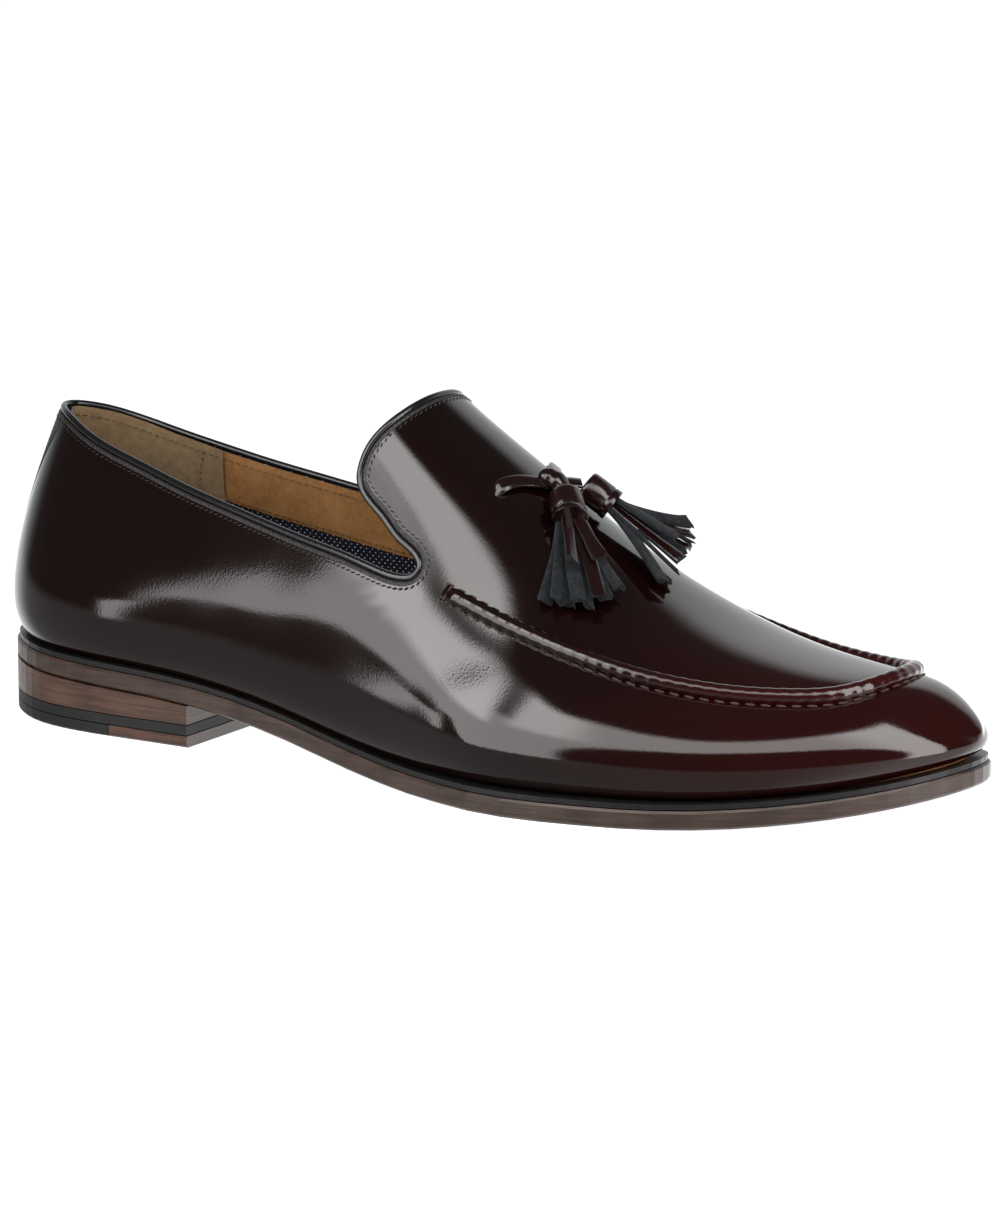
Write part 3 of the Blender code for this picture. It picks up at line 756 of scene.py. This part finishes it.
# A row of stitches below the top line, one above the facing's fold and one down the grip's front edge
sewing = [
    stitches(*sewn_round(-.0010, GRIP_HEIGHT - .0003, LINING_PITCH), LINING_STITCH, LINING_THICK),
    stitches(*sewn_round(-FACING + .0013, FACING_HEIGHT - .0005, LINING_PITCH, seam_share), LINING_STITCH,
             LINING_THICK),
]
share = np.full(3, seam_share * .985)
for side in (-1, 1):
    line, above = (
        np.array([beside_rim(side, away, np.full(3, height), share)[1] for away in np.linspace(-.001, -.038, 18)])
        for height in (GRIP_HEIGHT - .0004, -WALL)
    )
    sewing.append(stitches(line, courses(line), unit(above - line), LINING_STITCH, .00035))
piece("lining_stitches", joined(sewing), [lining_thread])


# Raised seam round the apron
SEAM_PITCH = .0038
SEAM_PROFILE = (
    (-.52, -.14), (-.53, .12), (-.52, .38), (-.45, .64), (-.33, .84), (-.17, .96), (0, 1),
    (.17, .96), (.33, .84), (.45, .64), (.52, .38), (.53, .12), (.52, -.14),
)
SEAM_WIDTH, SEAM_HEIGHT = .0042, .0027
SEAM_STITCH, SEAM_THREAD = .0030, .00075
SEAM_POINTS = 560
END_BAR = .0056


def seam_line(count):
    t = np.linspace(-1, 1, 1601)
    x = RIDGE_START + (RIDGE_TIP - RIDGE_START) * np.cos(pi * t / 2)
    y = crest_shift(turn(x / LENGTH)) * 1.2 + np.sign(t) * ridge_half(np.abs(t))
    line = spaced(np.stack((x, y), axis=1), count)
    place = from_top(*line.T)
    points, out = surface(*place), normal(*place)
    return line, points, out, unit(np.cross(out, courses(points)))


line, points, out, aside = seam_line(SEAM_POINTS)
run = np.concatenate(((0,), np.cumsum(np.linalg.norm(np.diff(points, axis=0), axis=1))))
pull = np.cos(2 * pi * run / SEAM_PITCH)
end = np.minimum(run, run[-1] - run)
fade = np.clip(.45 + .55 * end / .004, 0, 1)
rows = []
for a, h in SEAM_PROFILE:
    wide = SEAM_WIDTH * (1 + .05 * pull * (abs(a) > .4))
    tall = GAP + SEAM_HEIGHT * fade * h * (1 + .022 * pull)
    rows.append(over(from_top(*(line + aside[:, :2] * (a * wide)[:, None]).T), tall))
piece("apron_ridge", sheet(np.stack(rows, axis=1), closed=True, shut=True),
      [ridge_cherry], replaced=("apron_seam",), crease=60)

sewing = []
sewn = int(run[-1] / SEAM_PITCH)
for side in (-1, 1):
    foot = over(from_top(*(line + aside[:, :2] * side * SEAM_WIDTH * .60).T), np.full(SEAM_POINTS, .0002))
    foot, tops = spaced(foot, sewn), spaced(foot + out * .001, sewn)
    sewing.append(stitches(foot, courses(foot), unit(tops - foot), SEAM_STITCH, SEAM_THREAD,
                           slant=side * .12, rise=.3))
for n in (3, -4):
    bar = points[n] + out[n] * SEAM_HEIGHT * .62
    sewing.append(stitches([bar], [aside[n]], [out[n]], END_BAR, .0007))
piece("apron_stitches", joined(sewing), [seam_thread])


# Strip over the back seam
STRIP_WIDTH, STRIP_THICK = .018, .0013


def strip_points():
    half = STRIP_WIDTH / 2
    y, rise = np.meshgrid(np.linspace(-half, half, 25), np.linspace(0, 1, 60))
    side = np.where(y > 0, 1., -1.)
    v = np.full(y.shape, .4)
    for _ in range(6):
        near, far = np.zeros(y.shape), np.full(y.shape, .25)
        for _ in range(26):
            u = (near + far) / 2
            inside = np.abs(surface(u, v, side)[..., 1]) < np.abs(y)
            near, far = np.where(inside, u, near), np.where(inside, far, u)
        x = surface(u, v, side)[..., 0]
        edge = np.interp(x, rim_points[:9, 0], rim_points[:9, 1]) - GAP
        top = share_where(lambda v: section(u, v, side)[1] < edge, u.shape)
        v = -.8 + (top + .8) * rise
    return over((u, v, side), np.full(u.shape, .0001))


strip = piece("back_strip_tape", sheet(strip_points()), [tape], replaced=("back_strip",))
walled(strip, -STRIP_THICK)
settled(strip)


# Tie and tassels. Places over the foot: share of length, share of ball width, height in cap radii.
TIE_LINE = (
    (.5440, -.150, -.35), (.5475, -.137, .22), (.553, -.105, .30), (.561, -.065, .32), (.570, -.020, .36),
    (.570, .028, .36), (.561, .065, .32), (.553, .105, .30), (.5475, .137, .22), (.5440, .150, -.35),
)
KNOT = ((.5615, -.012, .50), (.5660, -.012, .62), (.5730, -.008, .74), (.5800, -.004, .62), (.5845, -.002, .50))
LEGS = (
    ((.574, -.008, .60), (.580, -.024, .85), (.5860, -.043, 1.10)),
    ((.574, .000, .60), (.5795, .014, .88), (.5860, .034, 1.17)),
)
# Each tassel: top and mouth of its cap, then the end of each strand and whether its face is the glossy side
TASSELS = {
    "tassel_outer": ((.590, -.054, 1.16), (.6123, -.122, 1.16), (
        ((.6245, -.284, .42), 0), ((.6430, -.268, .42), 0), ((.660, -.246, .50), 0), ((.668, -.207, .60), 0),
        ((.672, -.165, .75), 0), ((.632, -.200, 1.55), 1), ((.645, -.150, 1.50), 1), ((.6345, -.276, .80), 0),
        ((.6515, -.256, .95), 0), ((.664, -.225, 1.15), 1),
    )),
    "tassel_inner": ((.5880, .041, 1.22), (.6165, .066, 1.16), (
        ((.647, .212, 2.6), 0), ((.655, .212, 2.1), 1), ((.664, .183, 1.5), 1), ((.670, .135, 1.2), 0),
        ((.685, .045, .9), 0), ((.6885, -.036, .75), 0), ((.664, .090, 2.1), 1), ((.668, .160, 1.9), 0),
        ((.678, .090, 1.2), 1),
    )),
}
CAP_LENGTH, CAP_SEAM = .0095, 3.6
STRAP_WIDTH, STRAP_THICK = .0042, .0013
STRAND_WIDTH, STRAND_THICK = .0038, .0011
FRINGE_LENGTH = .024
GLOSSY_ABOVE = .55
# Section of a flat strip with eased corners, in shares of its width and thickness
FLAT = ((.5, -.2), (.5, .2), (.42, .45), (.15, .5), (-.15, .5), (-.42, .45), (-.5, .2), (-.5, -.2),
        (-.42, -.45), (-.15, -.5), (.15, -.5), (.42, -.45))


def spots(places):
    x, y, height = np.array(places).T
    return over(from_top(x * LENGTH, y * BALL_WIDTH), height * CAP_RADIUS)


def outs(places):
    x, y, _ = np.array(places).T
    return normal(*from_top(x * LENGTH, y * BALL_WIDTH))


def eased(points, count):
    """A smooth line through a few points."""
    knots = np.linspace(0, 1, len(points))
    return np.stack([natural_spline(knots, axis)(np.linspace(0, 1, count)) for axis in points.T], axis=1)


def swept(line, out, wide, thick):
    along = courses(line)
    side = unit(np.cross(out, along))
    up = unit(np.cross(along, side))
    a, b = np.array(FLAT).T
    wide, thick = (np.broadcast_to(size, len(line))[:, None, None] for size in (wide, thick))
    return (line[:, None] + side[:, None] * wide * a[None, :, None] + up[:, None] * thick * b[None, :, None])


def strap(places, count):
    line = eased(spots(places), count)
    return sheet(swept(line, unit(eased(outs(places), count)), STRAP_WIDTH, STRAP_THICK), closed=True, shut=True)


BARREL_SIDES = 28


def barrel(line, out, radii, flatness, lap=0.):
    """A closed round body along a line; lap grows it once round, like a rolled strip of leather."""
    along = courses(line)
    side = unit(np.cross(out, along))
    up = unit(np.cross(along, side))
    angle = 2 * pi * np.arange(BARREL_SIDES) / BARREL_SIDES
    grow = 1 + lap * ((angle - CAP_SEAM) % (2 * pi)) / (2 * pi)
    ring = side[:, None] * (np.cos(angle) * grow)[None, :, None]
    ring = ring + up[:, None] * (np.sin(angle) * grow * flatness)[None, :, None]
    return sheet(line[:, None] + ring * np.asarray(radii)[:, None, None], closed=True, shut=True)


KNOT_RINGS = 24
steps = np.linspace(0, 1, KNOT_RINGS)
swell = np.interp(steps, (0, .1, .3, .5, .7, .9, 1), (.45, .80, 1.0, 1.04, 1.0, .80, .45))
groove = 1 - .10 * np.exp(-((steps - .42) / .05) ** 2) - .08 * np.exp(-((steps - .72) / .05) ** 2)
knot = barrel(eased(spots(KNOT), KNOT_RINGS), unit(eased(outs(KNOT), KNOT_RINGS)),
              STRAP_WIDTH * .72 * swell * groove, .78)
tie = [strap(TIE_LINE, 60), knot, *(strap(leg, 30) for leg in LEGS)]
piece("tie_thong", joined(tie), [tassel_face], replaced=("tassel_tie",), crease=45)

# Share of the cap's length and of its radius, with the groove of its seam
CAP_PROFILE = ((-.01, .30), (0, .62), (.01, .84), (.05, .93), (.12, .97), (.45, .99), (.73, 1.0), (.755, .965),
               (.775, .965), (.80, 1.01), (.96, 1.03), (.99, 1.01), (1.0, .90), (.985, .60))


def strand(root, fall, out, end_place, nth):
    """One strip of the fringe, from inside the cap's mouth to its own end, with a ragged cut."""
    end = spots([end_place])[0]
    spread = (end - root) - fall * np.dot(end - root, fall)
    spread = spread / max(np.linalg.norm(spread), CAP_RADIUS)
    start = root - fall * CAP_RADIUS * .6 + spread * CAP_RADIUS * .45
    bend = root + fall * FRINGE_LENGTH * .3 + spread * CAP_RADIUS * .8
    t = np.linspace(0, 1, 22)[:, None]
    line = (1 - t) ** 2 * start + 2 * t * (1 - t) * bend + t ** 2 * end
    curl = sin(nth * 2.4) * .5
    facing = unit(out + np.cross(fall, out) * curl * t)
    wide = STRAND_WIDTH * (.86 + .26 * t[:, 0] + .05 * np.sin(9 * t[:, 0] + nth))
    rows = swept(line, facing, wide, STRAND_THICK)
    jag = np.array([.0009 * sin(5.3 * k + nth * 1.9) + .0005 * sin(11 * k + nth) for k in range(len(FLAT))])
    jag[6:] = jag[6:][::-1] * .4 + jag[:6] * .6
    rows[-1] += fall * jag[:, None]
    rows[-2] += fall * jag[:, None] * .5
    return sheet(rows, closed=True, shut=True)


for name, (top, mouth_place, ends) in TASSELS.items():
    head, mouth = spots([top, mouth_place])
    out = unit(sum(outs([top, mouth_place])))
    fall = unit(mouth - head)
    steps, radii = np.array(CAP_PROFILE).T
    cap_line = head + fall * (CAP_LENGTH * steps)[:, None]
    parts = [barrel(cap_line, np.tile(out, (len(steps), 1)), CAP_RADIUS * radii, .92, lap=.07)]
    mouth = head + fall * CAP_LENGTH
    for nth, (end_place, glossy) in enumerate(ends, start=3 if name == "tassel_inner" else 0):
        bm = strand(mouth, fall, out, end_place, nth)
        for face in bm.faces:
            face.normal_update()
            shown = glossy and face.normal.dot(Vector(out)) > GLOSSY_ABOVE
            face.material_index = 0 if shown else 1
        parts.append(bm)
    piece(name + "_fringe", joined(parts), [tassel_face, raw], replaced=(name,), crease=45)


# Carried-over solids of the bottom
for node, finish in {
    "insole": tan, "welt": rand, "outsole": sole_brown, "heel_stack": stack_brown, "heel_mid_lift": rubber,
    "top_piece_rear": rubber, "top_piece_front": stack_brown,
}.items():
    bpy.data.objects[node].data.materials.clear()
    bpy.data.objects[node].data.materials.append(finish.material)


# Floor, light and camera
def staged(name, bm, finish):
    mesh = bpy.data.meshes.new(name)
    bm.to_mesh(mesh)
    bm.free()
    mesh.materials.append(finish.material)
    made = bpy.data.objects.new(name, mesh)
    bpy.context.scene.collection.objects.link(made)
    return made


FLOOR_HALF = 60
TARGET = Vector((.15602 - HEEL_MIDDLE, 0, .04086))
DIFFUSER_RADIUS, DIFFUSER_LIGHT = .29, 10
STUDIO_LIGHT = 2.5

floor_finish = Finish("lit_pale_floor", roughness=.9, specular_ior_level=.1, emission_strength=1.0,
                      emission_color=(1, 1, 1, 1))
floor_finish.set(base_color=floor_finish.blend(floor_finish.noise(3, 2), (.30, .30, .30), (.32, .32, .32)))
bm = bmesh.new()
bmesh.ops.create_grid(bm, x_segments=4, y_segments=4, size=FLOOR_HALF)
staged("floor", bm, floor_finish).visible_glossy = False


def toward(azimuth, elevation):
    """Unit vector at an azimuth from +X and an elevation."""
    a, e = radians(azimuth), radians(elevation)
    return Vector((cos(a) * cos(e), sin(a) * cos(e), sin(e)))


def bearing(finish, place):
    """Azimuth and elevation in degrees of a place seen from the middle."""
    x, y, z = (finish.axis(n, place) for n in "XYZ")
    flat = (x * x + y * y).power(.5)
    return (x.maths("ARCTAN2", value, other) * (180 / pi) for value, other in ((y, x), (z, flat)))


# A curved white diffuser close to the outer side, with a gap that the camera looks in through.
# Its edges are given in degrees round and above the shoe.
diffuser = Finish("diffuser", roughness=1, specular_ior_level=0, base_color=(0, 0, 0, 1),
                  emission_strength=DIFFUSER_LIGHT)
azimuth, elevation = bearing(
    diffuser, diffuser.node("VectorMath", {"operation": "SUBTRACT"}, diffuser.place, TARGET))
heel_edge = (elevation.ramp(15.5, 17.5) * .8 + (elevation - 17.5).most(0) * .45
             - (6 - elevation).ramp(0, 3) * 3.5 - 139.2)
foot_edge = ((9.3 - (-138.2 - azimuth).most(0) * 6.6).most(-5) * (1 - (azimuth + 135).ramp(-1.5, 3))
             - (azimuth + 132).ramp(-4, 4) * 8)
top_edge = 61 - (azimuth + 100).ramp(-10, 10) * 5
around_gap = (((azimuth + 57) / 33).power(2) + (elevation / 34).power(2)).ramp(.9, 1.15)
lit = ((azimuth - heel_edge).ramp(-.4, .4) * (elevation - foot_edge).ramp(-1, 1)
       * (top_edge - elevation).ramp(-3, 3) * around_gap * (-6 - azimuth).ramp(-6, 4))
beside_heel = (-119 - azimuth).ramp(-3, 3) * elevation.ramp(19, 27)
behind_waist = (azimuth + 110).ramp(-4, 4) * (-86 - azimuth).ramp(-6, 6) * elevation.ramp(24, 34)
outside_seam = ((azimuth + 113) / 5).size().ramp(.5, 1.3).most((36 - elevation).ramp(-4, 4))
beside_toe = (azimuth + 32).ramp(-8, 8)
glow = beside_heel * 4.6 + behind_waist * 3.2 + outside_seam * 3.4 + beside_toe * 3 + .8
diffuser.set(emission_color=diffuser.blend(glow / DIFFUSER_LIGHT, (0, 0, 0), (1.0, .985, .97)))
cloth = Value(diffuser, diffuser.shader.outputs["BSDF"])
hung = diffuser.node("MixShader", {}, lit, diffuser.node("BsdfTransparent", {}), cloth)
diffuser.tree.links.new(hung.socket, diffuser.tree.nodes["Material Output"].inputs["Surface"])
bm = bmesh.new()
bmesh.ops.create_grid(bm, x_segments=48, y_segments=28, size=1)
for vert in bm.verts:
    vert.co = TARGET + toward(-79 + 73 * vert.co.x, 31 + 43 * vert.co.y) * DIFFUSER_RADIUS
staged("diffuser", bm, diffuser).visible_camera = False

studio = Finish("studio", "worlds", "Generated", strength=STUDIO_LIGHT)
azimuth, elevation = bearing(studio, studio.place)
backdrop = (azimuth - 40).ramp(-15, 15) * (165 - azimuth).ramp(-15, 15) * (38 - elevation).ramp(-8, 8)
table = (0 - elevation).ramp(-1, 6) * ((azimuth + 48).ramp(-20, 20) * (110 - azimuth).ramp(-20, 20) + .35)
glow = backdrop * .9 + table + .09
studio.set(color=studio.blend(glow / STUDIO_LIGHT, (0, 0, 0), (.97, .99, 1)))
bpy.context.scene.world = studio.material

CAMERA_SIDE, CAMERA_DISTANCE = toward(-59.5, 11.6), 1.300
camera = bpy.data.cameras.new("camera")
camera.lens = 141.57
camera.sensor_width = 36
view = bpy.data.objects.new("camera", camera)
bpy.context.scene.collection.objects.link(view)
view.location = TARGET + CAMERA_SIDE * CAMERA_DISTANCE
view.rotation_euler = CAMERA_SIDE.to_track_quat("Z", "Y").to_euler()
bpy.context.scene.camera = view
bpy.context.scene.view_settings.view_transform = "Standard"
